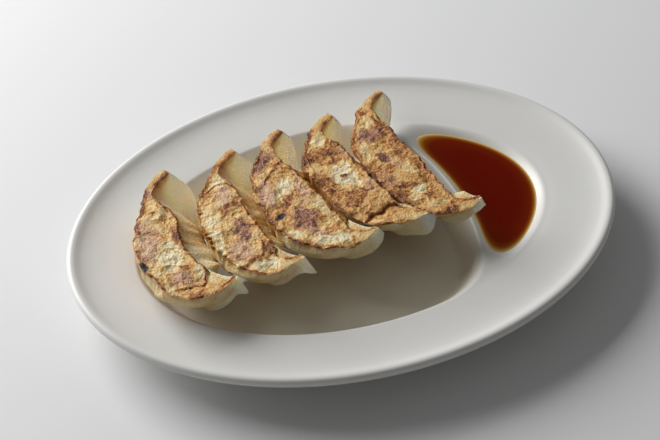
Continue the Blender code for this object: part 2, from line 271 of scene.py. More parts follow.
links.new(ripple.outputs["Fac"], bump.inputs["Height"])
links.new(bump.outputs["Normal"], bsdf.inputs["Normal"])
bsdf.inputs["Specular IOR Level"].default_value = 0.36
plate.data.materials.append(glaze)
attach(plate, "root")
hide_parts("plate")


# Sauce: a still pool of soy dip in the side well, flat on top and curling up a little where
# it meets the glaze. It is almost black-red where deep and amber where it thins out.
def pool_edge(angle, level):
    """Distance from the pool's middle to where the glaze is at the given height."""
    lo = np.zeros_like(angle)
    hi = np.full_like(angle, 60.0)
    for step in range(40):
        mid = 0.5 * (lo + hi)
        x, y = POOL_X + mid * np.cos(angle), mid * np.sin(angle)
        low = (well_height(x, y) < level) & (sauce_inset(x, y) > PAST_CREST)
        lo = np.where(low, mid, lo)
        hi = np.where(low, hi, mid)
    return lo


POOL_X = 69.0
POOL_SEGMENTS = 192
PAST_CREST = 3.5
CURL = 0.22
BED_GAP = 0.03
DEEPEST = 7.5
turn = 2.0 * math.pi * np.arange(POOL_SEGMENTS) / POOL_SEGMENTS
shore = pool_edge(turn, SAUCE_Z + CURL)
pool = []
top_share = np.concatenate([np.linspace(0.0, 0.8, 26, endpoint=False), np.linspace(0.8, 1.0, 22)])
for f in top_share:
    lift = CURL * np.exp(-(1.0 - f) * shore / 1.1)
    pool.append(np.stack([POOL_X + shore * f * np.cos(turn), shore * f * np.sin(turn),
                          np.full(POOL_SEGMENTS, SAUCE_Z) + lift], axis=1))
for f in top_share[::-1][1:]:
    x = POOL_X + shore * f * np.cos(turn)
    y = shore * f * np.sin(turn)
    bed = well_height(x, y) + BED_GAP
    pool.append(np.stack([x, y, np.minimum(bed, SAUCE_Z + 0.12)], axis=1))
pool = np.array(pool)
sauce, ring, seg = shaped_sphere("dipping_sauce", POOL_SEGMENTS, pool)
deep = SAUCE_Z - (well_height(pool[ring, seg][:, 0], pool[ring, seg][:, 1]) + BED_GAP)
thick = sauce.data.attributes.new("sauce_depth", "FLOAT", "POINT")
thick.data.foreach_set("value", np.clip(deep / DEEPEST, 0.0, 1.0).astype(np.float32))

soy, nodes, links, bsdf = plain_material("soy_dip")
depth = nodes.new("ShaderNodeAttribute")
depth.attribute_name = "sauce_depth"
tint = nodes.new("ShaderNodeValToRGB")
tint.color_ramp.elements[0].position = 0.0
tint.color_ramp.elements[0].color = (0.62, 0.43, 0.14, 1.0)
tint.color_ramp.elements[1].position = 1.0
tint.color_ramp.elements[1].color = (0.105, 0.0035, 0.0006, 1.0)
for at, colour in ((0.05, (0.38, 0.18, 0.03, 1.0)), (0.14, (0.21, 0.048, 0.005, 1.0)),
                   (0.30, (0.135, 0.012, 0.0012, 1.0))):
    stop = tint.color_ramp.elements.new(at)
    stop.color = colour
links.new(depth.outputs["Fac"], tint.inputs["Fac"])
links.new(tint.outputs["Color"], bsdf.inputs["Base Color"])
bsdf.inputs["Roughness"].default_value = 0.05
bsdf.inputs["IOR"].default_value = 1.36
bsdf.inputs["Specular IOR Level"].default_value = 0.08
sauce.data.materials.append(soy)
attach(sauce, "root")
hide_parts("sauce")


# Gyoza: five pan-fried dumplings, each a round of thin wheat dough folded over its filling and
# pinched along the seam. The side that lay in the pan is uppermost: flat, blistered and browned,
# with a thin frilly crust round it. Beyond the filling both tips are bare pinched dough.
FACE_Z = 32.5
FACE_DROP = 0.75
BLISTER_LIMIT = 0.73
TOP_GAP = 0.02
PLATE_GAP = 0.55
DOUGH = 0.85
LIP = 0.62
WALL_RUN = 22.0
SECTIONS = 300
ROUND = 240
FACE_COLUMNS = 104


def wander(x, y, size, seed):
    """Smooth uneven field from -1 to 1 whose lumps are about the given size."""
    grid = np.random.default_rng(seed).uniform(-1.0, 1.0, (61, 61))
    u, v = np.asarray(x) / size, np.asarray(y) / size
    i, j = np.floor(u).astype(int), np.floor(v).astype(int)
    fu, fv = ease(u - i), ease(v - j)
    low = grid[i % 61, j % 61] * (1.0 - fu) + grid[(i + 1) % 61, j % 61] * fu
    high = grid[i % 61, (j + 1) % 61] * (1.0 - fu) + grid[(i + 1) % 61, (j + 1) % 61] * fu
    return low * (1.0 - fv) + high * fv


def wrinkle(x, y, size, seed):
    """Narrow winding ridges, 0 between them and 1 along their tops."""
    bend = 0.35 * size
    wx = x + bend * wander(x, y, size * 1.7, seed + 1)
    wy = y + bend * wander(x, y, size * 1.7, seed + 2)
    return 1.0 - np.minimum(np.abs(wander(wx, wy, size, seed)) * 2.6, 1.0)


def every_8_mm(values, s):
    """Value at each place along the fold, from values given every 8 mm, near tip first."""
    v = np.array([values[0]] + list(values) + [values[-1]])
    t = np.clip((s + 48.0) / 8.0, 0.0, len(values) - 1.001)
    i = t.astype(int)
    f = t - i
    a, b, c, d = v[i], v[i + 1], v[i + 2], v[np.minimum(i + 3, len(v) - 1)]
    return 0.5 * (2.0 * b + (c - a) * f + (2.0 * a - 5.0 * b + 4.0 * c - d) * f ** 2
                  + (3.0 * b - 3.0 * c + d - a) * f ** 3)


def plate_height(x, y):
    """Upper surface of the whole plate, millimetres."""
    out = oval_distance(x, y, WELL_A, WELL_B)
    flange = EDGE_Z + np.interp(out, [0.0, 2.0, 6.0, 12.3, 17.4, 21.0, 23.0],
                                [0.0, 0.22, 0.55, 1.05, 1.65, 2.4, 3.15])
    return np.where(out > 0.0, flange, well_height(x, y))


def seat_height(x, y):
    high = np.maximum(plate_height(x, y), np.where(x > 50.0, SAUCE_Z, 0.0))
    for k in range(8):
        a = math.pi * k / 4.0
        high = np.maximum(high, plate_height(x + 2.4 * math.cos(a), y + 2.4 * math.sin(a)))
    return high


def fold_line(g, s):
    """Plan position and heading of the fold at each place along it."""
    half = g["length"] / 2.0
    fine = np.linspace(-half, half, 1201)
    head = g["heading"] + g["curl"] * fine
    head += g["far_bend"] * ease((fine - half + 26.0) / 26.0)
    head -= g["near_bend"] * ease((-fine - half + 26.0) / 26.0)
    head = np.radians(head)
    mid = 0.5 * (head[1:] + head[:-1])
    stretch = 1.0 + g["far_reach"] * ease((fine[1:] - half + 28.0) / 20.0)
    step = (fine[1] - fine[0]) * stretch
    x = np.concatenate([[0.0], np.cumsum(np.sin(mid) * step)])
    y = np.concatenate([[0.0], np.cumsum(np.cos(mid) * step)])
    x += g["x"] - x[600]
    y += g["y"] - y[600]
    return np.interp(s, fine, x), np.interp(s, fine, y), np.interp(s, fine, head)


def gyoza_table(g):
    """Points [section, round, xyz], and for each the share across the face and down a side."""
    half = g["length"] / 2.0
    u = np.linspace(1.0, -1.0, SECTIONS)
    s = (half * (0.35 * np.sin(u * math.pi / 2.0) + 0.65 * u) * 0.994)[:, None]
    u = np.abs(s) / half
    far = s > 0.0
    seed = g["seed"]
    tip = ease((u - 0.62) / 0.38)
    body = FACE_Z - FLOOR_Z - 0.5
    fill = 1.0 - ease((u - 0.30) / 0.50)
    left = every_8_mm(g["left"], s)
    right = every_8_mm(g["right"], s)
    frill = 0.45 + 0.55 * ease((left + right - 3.0) / 8.0)
    left = np.maximum(left + frill * (0.7 * wander(s, s * 0 + 3.3, 3.4, seed) +
                                      0.55 * wander(s, s * 0 + 9.1, 1.5, seed + 3)), DOUGH)
    right = np.maximum(right + frill * (0.7 * wander(s, s * 0 + 5.7, 3.6, seed + 5) +
                                        0.55 * wander(s, s * 0 + 1.1, 1.6, seed + 8)), DOUGH)
    rib_from, rib_to, rib = g["ribs"]
    rib = rib * ease((s - rib_from) / 4.0) * ease((rib_to - s) / 4.0)
    rib = rib * np.sin(2.0 * math.pi * (s / 3.1 + 0.9 * wander(s, s * 0 + 6.6, 6.0, seed + 17)))
    rib = rib * (0.75 + 0.6 * wander(s, s * 0 + 8.8, 4.0, seed + 18))
    left = left + 0.7 * rib
    taper = 1.0 - np.clip((u - 0.12) / 0.66, 0.0, 1.0) ** g["taper"]
    full = g["face"] * np.where(far, taper, np.sqrt(np.clip(1.0 - (u / 0.75) ** 3, 0.0, 1.0)))
    far_depth = np.clip(1.0 - u ** 2.2, 0.0, 1.0) ** 0.75 * (1.0 - g["far_lift"] * tip)
    near_depth = np.clip(1.0 - u ** 1.7, 0.0, 1.0) ** 1.15 * (1.0 - g["near_lift"] * tip)
    depth = np.maximum(body * np.where(far, far_depth, near_depth), 0.6)
    far_lean = g["lean"] + (g["far_lean"] - g["lean"]) * ease((u - 0.45) / 0.4)
    near_lean = g["lean"] - 0.25 * ease((u - 0.45) / 0.25) - g["near_hang"] * ease((u - 0.68) / 0.25)
    root = -depth * np.where(far, far_lean, near_lean)
    beta = np.radians(183.0 + np.where(far, g["far_droop"] * ease((u - 0.55) / 0.35),
                                       g["near_droop"] * ease((u - 0.45) / 0.45)))
    seam = np.where(far, 7.5 - (7.5 - g["far_seam"]) * ease((u - 0.55) / 0.3),
                    4.0 - (4.0 - g["near_seam"]) * ease((u - 0.6) / 0.3))
    seam = seam + 0.7 * wander(s, s * 0 + 2.2, 5.0, seed + 11)
    seam = seam + 0.3 * wander(s, s * 0 + 7.7, 2.2, seed + 12)
    for place, extra, broad in g["points"]:
        seam = seam + extra * np.exp(-((s - place) / broad) ** 2)
    near = ease(0.5 - s / 30.0)
    power = np.where(far, 1.5 - 0.35 * ease((u - 0.5) / 0.25), 1.5 + 0.7 * ease((u - 0.1) / 0.3))
    uneven = 1.0 + 0.15 * wander(s, s * 0, 7.0, seed + 14)
    bulge_out = (g["bulge_out"] + (g["near_bulge"] - g["bulge_out"]) * near) * fill * uneven
    bulge_in = 1.0 - np.where(far, ease((u - 0.42) / 0.42), ease((u - 0.32) / 0.30))
    bulge_in = g["bulge_in"] * bulge_in * uneven
    cheek = np.where(far, 0.0, ease((u - 0.30) / 0.22) * (1.0 - ease((u - 0.86) / 0.12)))
    bulge_in = np.maximum(bulge_in, (g["cheek"] - full) * cheek)

    def width(q, top, bulge, fall, shape, high):
        hull = np.maximum(full * np.maximum(1.0 - q ** fall, 0.0) ** shape - DOUGH, 0.0)
        wide = DOUGH + hull + bulge * np.sin(math.pi * np.minimum(q ** high, 1.0))
        return top + (wide - top) * ease(q / (0.42 - 0.20 * cheek))

    # Once round each section: the face, the right wall, under the seam, its lip, back, up the left
    across = np.linspace(0.0, 1.0, FACE_COLUMNS)[None, :]
    n = [left - (left + right) * across]
    drop = [np.full_like(n[0], FACE_DROP)]
    down = (np.linspace(0.0, 1.0, 41)[1:] ** 1.15 * 0.93)[None, :]
    fold = fill * np.sin(math.pi * down ** 0.6)
    lump = fold * (1.5 * wander(s + 5.0 * down, down * WALL_RUN, 5.0, seed + 15)
                   + 0.6 * wander(s, down * WALL_RUN, 2.6, seed + 19)
                   + 0.5 * (wrinkle(s + 6.0 * down, down * 14.0, 5.0, seed + 16) - 0.4))
    n.append(root * down ** power - width(down, right, bulge_in, 2.6, 0.6, 0.58 - 0.16 * cheek) - lump)
    drop.append(FACE_DROP + (depth - FACE_DROP) * down)
    foot_n, foot_d = n[1][:, -1:], drop[1][:, -1:]
    edge_n = root + np.cos(beta) * seam
    tucked = np.where(far, 1.0, 1.0 - ease((u - 0.42) / 0.25))
    edge_n = edge_n + (np.minimum(edge_n, foot_n - 2.5) - edge_n) * tucked
    edge_d = depth - np.sin(beta) * seam
    off_n, off_d = -np.sin(beta) * DOUGH, -np.cos(beta) * DOUGH
    t = np.linspace(0.0, 1.0, 13)[None, 1:]
    mid_n = 0.5 * foot_n + 0.5 * (root - off_n)
    mid_d = 0.5 * foot_d + 0.5 * (depth - off_d)
    n.append((1 - t) ** 2 * foot_n + 2 * t * (1 - t) * mid_n + t ** 2 * (edge_n - LIP * off_n))
    drop.append((1 - t) ** 2 * foot_d + 2 * t * (1 - t) * mid_d + t ** 2 * (edge_d - LIP * off_d))
    a = np.linspace(0.0, math.pi, 7)[None, 1:-1]
    n.append(edge_n + LIP * (-np.cos(a) * off_n + np.sin(a) * np.cos(beta) * DOUGH))
    drop.append(edge_d + LIP * (-np.cos(a) * off_d - np.sin(a) * np.sin(beta) * DOUGH))
    t = np.linspace(0.0, 1.0, 12)[None, :]
    lip = LIP + (1.0 - LIP) * t
    n.append(edge_n + (root - edge_n) * t + lip * off_n)
    drop.append(edge_d + (depth - edge_d) * t + lip * off_d)
    rest = ROUND - sum(part.shape[1] for part in n)
    up = (np.linspace(1.0, 0.0, rest + 1)[:-1] ** 1.1 * 0.94)[None, :]
    pleat = g["pleat"] * fill * (wrinkle(s + 2.5 * up, up * 6.0, 4.2, seed + 20) - 0.4)
    pleat = pleat * np.sin(math.pi * up ** 0.6)
    belly = width(up, left, bulge_out, 1.5 + 0.5 * near, 0.9 + 0.2 * near, 0.75)
    n.append(root * up ** power + pleat + belly)
    drop.append(FACE_DROP + (depth - FACE_DROP) * up)
    count = [part.shape[1] for part in n]
    n, drop = np.hstack(n), np.hstack(drop)
    for sweep in range(2):
        soft_n = 0.25 * np.roll(n, 1, 1) + 0.5 * n + 0.25 * np.roll(n, -1, 1)
        soft_d = 0.25 * np.roll(drop, 1, 1) + 0.5 * drop + 0.25 * np.roll(drop, -1, 1)
        n[:, FACE_COLUMNS:] = soft_n[:, FACE_COLUMNS:]
        drop[:, FACE_COLUMNS:] = soft_d[:, FACE_COLUMNS:]
    x, y, head = fold_line(g, s)
    flare = np.where(far, g["far_flare"], -g["near_flare"]) * tip
    px = x + np.sin(head) * flare * drop - np.cos(head) * n
    py = y + np.cos(head) * flare * drop + np.sin(head) * n
    # Where the plate rises under it, the soft dumpling is pressed up towards its face
    room = FACE_Z - PLATE_GAP - seat_height(px, py)
    press = np.minimum(1.0, room / np.maximum(drop, 0.01))
    sample = np.stack([px[::6, ::5].ravel(), py[::6, ::5].ravel(), press[::6, ::5].ravel()])
    sample = sample[:, sample[2] < 0.999]
    eased = np.ones_like(px)
    for k in range(0, SECTIONS, 20):
        gap = np.hypot(px[k:k + 20, :, None] - sample[0], py[k:k + 20, :, None] - sample[1])
        if sample.shape[1]:
            eased[k:k + 20] = np.minimum(1.0, np.min(sample[2] + 0.035 * gap, axis=2))
    drop = drop * np.minimum(eased, press)
    column = np.arange(ROUND)
    share = np.where(column < FACE_COLUMNS, column / (FACE_COLUMNS - 1.0), -1.0)[None, :] + s * 0
    side = np.concatenate([np.zeros(FACE_COLUMNS), down[0], np.full(sum(count[2:5]), 1.0), -up[0]])
    side = side[None, :] + s * 0
    return px, py, drop, share, side, s + n * 0, left + n * 0, right + n * 0, rib + n * 0


def crease_field(x, y, points):
    """Distance from a crease and the side of it, positive to the left of its run."""
    near, sign = np.full_like(x, 1e3), np.ones_like(x)
    for (ax, ay), (bx, by) in zip(points[:-1], points[1:]):
        dx, dy = bx - ax, by - ay
        t = np.clip(((x - ax) * dx + (y - ay) * dy) / (dx * dx + dy * dy), 0.0, 1.0)
        d = np.hypot(x - ax - t * dx, y - ay - t * dy)
        turn_side = np.sign(dx * (y - ay) - dy * (x - ax))
        sign = np.where(d < near, turn_side, sign)
        near = np.minimum(near, d)
    return near, sign


# Each kind of patch: how browned it is, how fully, and whether it turns the skin rosy
PATCH_TONES = {"pale": (0.09, 1.0, 0.0), "gold": (0.30, 1.0, 0.0), "tan": (0.47, 1.0, 0.0),
               "brown": (0.78, 1.0, None), "dark": (1.0, 1.0, None),
               "rosy": (0.50, 0.7, 1.0), "plum": (0.82, 1.0, 1.0)}


def gyoza(name, g):
    px, py, drop, share, side, s, left, right, rib = gyoza_table(g)
    seed = g["seed"]
    on_face = share >= 0.0
    edge = np.where(on_face, np.minimum(share, 1.0 - share) * (left + right), 0.0)
    wide = ease((left + right - 4.0) / 8.0)
    wx = px + 1.1 * wander(px, py, 5.0, seed + 30) + 0.5 * wander(px, py, 2.0, seed + 31)
    wy = py + 1.1 * wander(px, py, 5.0, seed + 32) + 0.5 * wander(px, py, 2.0, seed + 33)
    toast = g["toast"] + 0.16 * wander(px, py, 7.0, seed + 40) + 0.10 * wander(px, py, 2.6, seed + 41)
    rosy, char = np.zeros_like(px), np.zeros_like(px)
    crumple = wrinkle(px, py, 4.6, seed + 52) ** 2
    rise = (0.42 * wander(px, py, 7.5, seed + 50) + 0.45 * wander(px, py, 3.6, seed + 51)
            + 0.34 * (crumple - 0.2) * ease(0.6 + wander(px, py, 9.0, seed + 54))
            + 0.24 * wander(px, py, 1.5, seed + 53) + 0.14 * wander(px, py, 0.8, seed + 55))
    near_left = np.exp(-share * (left + right) / 2.6) * on_face
    rise += 0.55 * rib * near_left
    toast = toast + (0.08 - toast) * np.minimum(np.abs(rib) * 3.0, 1.0) * near_left
    edging = 0.22 * wander(px, py, 1.9, seed + 35) + 0.12 * wander(px, py, 0.8, seed + 36)
    for kind, cx, cy, long, broad, way, strength in g["patches"]:
        a = math.radians(way)
        lx = (wx - cx) * math.sin(a) + (wy - cy) * math.cos(a)
        ly = (wx - cx) * math.cos(a) - (wy - cy) * math.sin(a)
        m = ease((1.25 - np.hypot(lx / long, ly / broad) + edging) / 0.60) * strength
        if kind == "char":
            char = np.maximum(char, np.minimum(1.4 * m, 1.0))
            rise -= 0.15 * m
            continue
        tone, fully, pink = PATCH_TONES[kind]
        toast = toast + (tone - toast) * m * fully
        if pink is not None:
            rosy = rosy + (pink - rosy) * m
        if kind == "pale":
            rise -= 0.25 * m
    patchy = np.clip(0.55 + 0.75 * wander(s, share * 3.0, 3.2, seed + 60)
                     + 0.35 * wander(s, share * 3.0, 1.2, seed + 61), 0.0, 1.0)
    # Fine brown veins run along the crumpled skin, with burnt specks where it is darkest
    toast = toast + 0.42 * crumple ** 2 * ease(0.45 + 1.5 * wander(px, py, 8.0, seed + 57))
    # Painted highlight: the raised bumps are made paler, standing for light catching their tops.
    toast = toast - 0.10 * ease((rise - 0.15) / 0.4)
    fleck = ease((wander(px, py, 0.9, seed + 58) - 0.45) / 0.3) * ease((toast - 0.30) / 0.3)
    fleck = fleck * ease(0.3 + 1.5 * wander(px, py, 8.0, seed + 59))
    toast = toast + (0.97 - toast) * fleck * 0.85
    halo = np.exp(-(edge / 1.7) ** 2) * patchy * wide
    toast = toast + (np.maximum(toast, 0.55) - toast) * halo
    ragged = edge + 0.30 * wander(px, py, 1.6, seed + 62)
    line = np.exp(-((ragged - 0.40) / 0.72) ** 2) * np.minimum(patchy * 1.7, 1.0)
    toast = toast + (0.98 - toast) * line * g["rim"]
    rosy *= 1.0 - line
    rise += 0.42 * np.exp(-((edge - 0.9) / 0.6) ** 2) * wide * patchy
    for points, fall in g["creases"]:
        away, sign = crease_field(wx, wy, points)
        rise -= fall * np.where(sign > 0.0, np.exp(-away / 2.6), np.exp(-away / 0.35)) * wide
        toast = toast + (0.90 - toast) * np.exp(-(away / 0.8) ** 2) * 0.85
    # The walls, the fold's crest and the pinched sheets beyond the filling
    half = g["length"] / 2.0
    u = np.abs(s) / half
    bare = ease((u - 0.5) / 0.2)
    reach = np.where(side < 0.0, -side, side)
    stain = np.exp(-reach * WALL_RUN / 1.1)
    # Painted shade: the walls darken downwards away from the face, on the right flanks by an amount set per
    # dumpling (a negative amount lightens them as painted light), and on the left walls towards the far end,
    # where they sit in the shaded gaps between dumplings.
    wall = 0.17 + 0.12 * wander(s, side * 20.0, 5.0, seed + 70) + 0.20 * reach * (1.0 - bare)
    wall = wall + (1.0 - bare) * g["flank_shade"] * (side > 0.0)
    wall = wall + (1.0 - bare) * 0.25 * (side < 0.0) * ease((s + 12.0) / 16.0)
    # Painted glow: the far sheets lighten towards their free edges, standing for light shining through the
    # thin dough.
    wall = wall + (0.30 - 0.28 * reach - wall) * bare * (s > 0.0)
    # Painted shade down the left skirt at the near end, by an amount set per dumpling; a negative amount
    # lightens it instead as painted fill light.
    wall = wall + g["skirt_shade"] * (s < 0.0) * (side < 0.0) * reach
    wall = np.where(on_face, toast, wall + (toast - wall) * stain)
    crest = on_face * (1.0 - wide)
    crown = np.where(s > 0.0, g["far_brown"], g["near_brown"]) * np.clip(
        0.92 + 0.25 * wander(s, px * 0 + 4.0, 4.0, seed + 75), 0.0, 1.05)
    toast = wall
    # Along the bare crest a dark line runs on the left edge, and on the right near the very tip
    spotty = np.clip(0.85 + 0.7 * wander(s, px * 0 + 6.0, 2.6, seed + 76), 0.65, 1.1)
    cross = ease((u - np.where(s > 0.0, 0.70, 0.78)) / 0.08)
    stroke = np.clip(share * (1.0 - cross) + (1.0 - share) * cross, 0.0, 1.0) * (left + right)
    scorch = crown * (0.44 + 0.86 * spotty * np.exp(-(stroke / 1.35) ** 2))
    toast = toast + (scorch - toast) * crest * bare
    outer = np.exp(-(share * (left + right) / 1.8) ** 2) * ease((s - 10.0) / 12.0) * (1.0 - cross)
    toast = toast + (0.97 * crown - toast) * outer * on_face * np.minimum(spotty, 1.0)
    under = np.where(side > 0.0, cross, 1.0 - cross) * (1.0 - wide) * bare
    under = under * np.exp(-reach * WALL_RUN / 2.4)
    singed = toast + (np.maximum(toast, 0.92 * crown * spotty) - toast) * under
    toast = np.where(on_face, toast, singed)
    rosy *= np.where(on_face, 1.0, stain)
    char *= np.where(on_face, 1.0, np.exp(-reach * WALL_RUN / 2.5))
    sheet = np.where(on_face, 0.0, (1.0 - wide) * bare * np.clip(reach * 3.0 - 0.15, 0.0, 1.0))
    sheet = sheet * np.where(s > 0.0, 1.0, 0.25 + 0.75 * ease((u - 0.84) / 0.08))
    rise = rise * wide * on_face - 0.65 * np.exp(-edge / 0.55) * on_face * wide
    rise = np.where(rise > 0.0, BLISTER_LIMIT * np.tanh(rise / BLISTER_LIMIT), rise)
    z = np.minimum(FACE_Z - drop + rise, FACE_Z - TOP_GAP)
    skin = np.stack([px, py, z], axis=2)
    cap = skin.mean(axis=1, keepdims=True)
    skin = np.concatenate([np.repeat(cap[:1], ROUND, 1), skin, np.repeat(cap[-1:], ROUND, 1)])
    piece, ring, seg = shaped_sphere(name.replace("gyoza", "fried_gyoza"), ROUND, skin)
    row = np.clip(ring - 1, 0, SECTIONS - 1)
    for mask, values in (("toast", toast), ("rosy", rosy), ("char", char), ("sheet", sheet)):
        data = piece.data.attributes.new(mask, "FLOAT", "POINT")
        data.data.foreach_set("value", np.clip(values, 0.0, 1.0)[row, seg].astype(np.float32))
    piece.data.materials.append(fried_dough)
    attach(piece, "root")
    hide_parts(name)


fried_dough, nodes, links, bsdf = plain_material("fried_dough")
place = nodes.new("ShaderNodeTexCoord")


def speckle(size_mm, detail, low, high):
    noise = nodes.new("ShaderNodeTexNoise")
    noise.inputs["Scale"].default_value = 1000.0 / size_mm
    noise.inputs["Detail"].default_value = detail
    links.new(place.outputs["Object"], noise.inputs["Vector"])
    span = nodes.new("ShaderNodeMapRange")
    span.inputs["From Min"].default_value = 0.3
    span.inputs["From Max"].default_value = 0.7
    span.inputs["To Min"].default_value = low
    span.inputs["To Max"].default_value = high
    links.new(noise.outputs["Fac"], span.inputs["Value"])
    return span.outputs["Result"]


def mask_value(name):
    node = nodes.new("ShaderNodeAttribute")
    node.attribute_name = name
    return node.outputs["Fac"]


def combine(kind, a, b):
    node = nodes.new("ShaderNodeMath")
    node.operation = kind
    for socket, value in zip(node.inputs, (a, b)):
        if isinstance(value, float):
            socket.default_value = value
        else:
            links.new(value, socket)
    return node.outputs["Value"]


def colours_along(value, stops):
    ramp = nodes.new("ShaderNodeValToRGB")
    first, last = ramp.color_ramp.elements[0], ramp.color_ramp.elements[1]
    first.position, first.color = stops[0][0], (*stops[0][1], 1.0)
    last.position, last.color = stops[-1][0], (*stops[-1][1], 1.0)
    for at, colour in stops[1:-1]:
        ramp.color_ramp.elements.new(at).color = (*colour, 1.0)
    links.new(value, ramp.inputs["Fac"])
    return ramp.outputs["Color"]


def blend_colours(share, a, b):
    mix = nodes.new("ShaderNodeMix")
    mix.data_type = "RGBA"
    links.new(share, mix.inputs[0])
    for socket, value in ((mix.inputs[6], a), (mix.inputs[7], b)):
        if isinstance(value, tuple):
            socket.default_value = value
        else:
            links.new(value, socket)
    return mix.outputs[2]


toast = mask_value("toast")
mottle = combine("ADD", speckle(2.6, 4.0, -0.15, 0.15), speckle(0.8, 3.0, -0.25, 0.22))
mottle_strength = combine("ADD", combine("MULTIPLY", toast, 1.1), 0.10)
browned = combine("ADD", toast, combine("MULTIPLY", mottle, mottle_strength))
golden = colours_along(browned, [(0.0, (0.86, 0.78, 0.56)), (0.15, (0.82, 0.68, 0.40)),
                                 (0.32, (0.77, 0.52, 0.20)), (0.50, (0.64, 0.33, 0.09)),
                                 (0.68, (0.46, 0.18, 0.038)), (0.85, (0.25, 0.075, 0.014)),
                                 (1.0, (0.11, 0.030, 0.010))])
pinkish = colours_along(browned, [(0.2, (0.74, 0.54, 0.40)), (0.5, (0.59, 0.36, 0.25)),
                                  (0.8, (0.34, 0.145, 0.088)), (1.0, (0.16, 0.055, 0.032))])
rosy = combine("MULTIPLY", mask_value("rosy"), speckle(1.6, 4.0, 0.55, 1.1))
skin_colour = blend_colours(rosy, golden, pinkish)
# The bare pinched sheets take a pale cream tone: partly the unbrowned dough's own colour, partly painted
# glow standing for light shining through the thin dough.
thinness = combine("ADD", combine("MULTIPLY", toast, 1.3), speckle(9.0, 3.0, -0.1, 0.15))
sheet_tone_and_glow = colours_along(thinness, [(0.0, (0.97, 0.95, 0.87)), (0.45, (0.95, 0.89, 0.70)),
                                      (1.0, (0.84, 0.68, 0.38))])
skin_colour = blend_colours(combine("MULTIPLY", mask_value("sheet"), 0.95), skin_colour, sheet_tone_and_glow)
burnt = combine("MULTIPLY", mask_value("char"), speckle(1.2, 3.0, 0.8, 1.3))
skin_colour = blend_colours(burnt, skin_colour, (0.014, 0.009, 0.008, 1.0))
links.new(skin_colour, bsdf.inputs["Base Color"])
gloss = combine("ADD", combine("MULTIPLY", toast, -0.12), speckle(1.5, 3.0, 0.42, 0.62))
links.new(gloss, bsdf.inputs["Roughness"])
bump = nodes.new("ShaderNodeBump")
bump.inputs["Strength"].default_value = 0.75
bump.inputs["Distance"].default_value = 0.0005
pitting = combine("ADD", speckle(0.9, 4.0, 0.0, 1.0), speckle(0.35, 2.0, 0.0, 0.4))
links.new(pitting, bump.inputs["Height"])
links.new(bump.outputs["Normal"], bsdf.inputs["Normal"])
bsdf.inputs["Specular IOR Level"].default_value = 0.38
glow = combine("ADD", combine("MULTIPLY", mask_value("sheet"), 0.75), 0.15)
links.new(glow, bsdf.inputs["Subsurface Weight"])
bsdf.inputs["Subsurface Radius"].default_value = (1.0, 0.75, 0.45)
bsdf.inputs["Subsurface Scale"].default_value = 0.0045


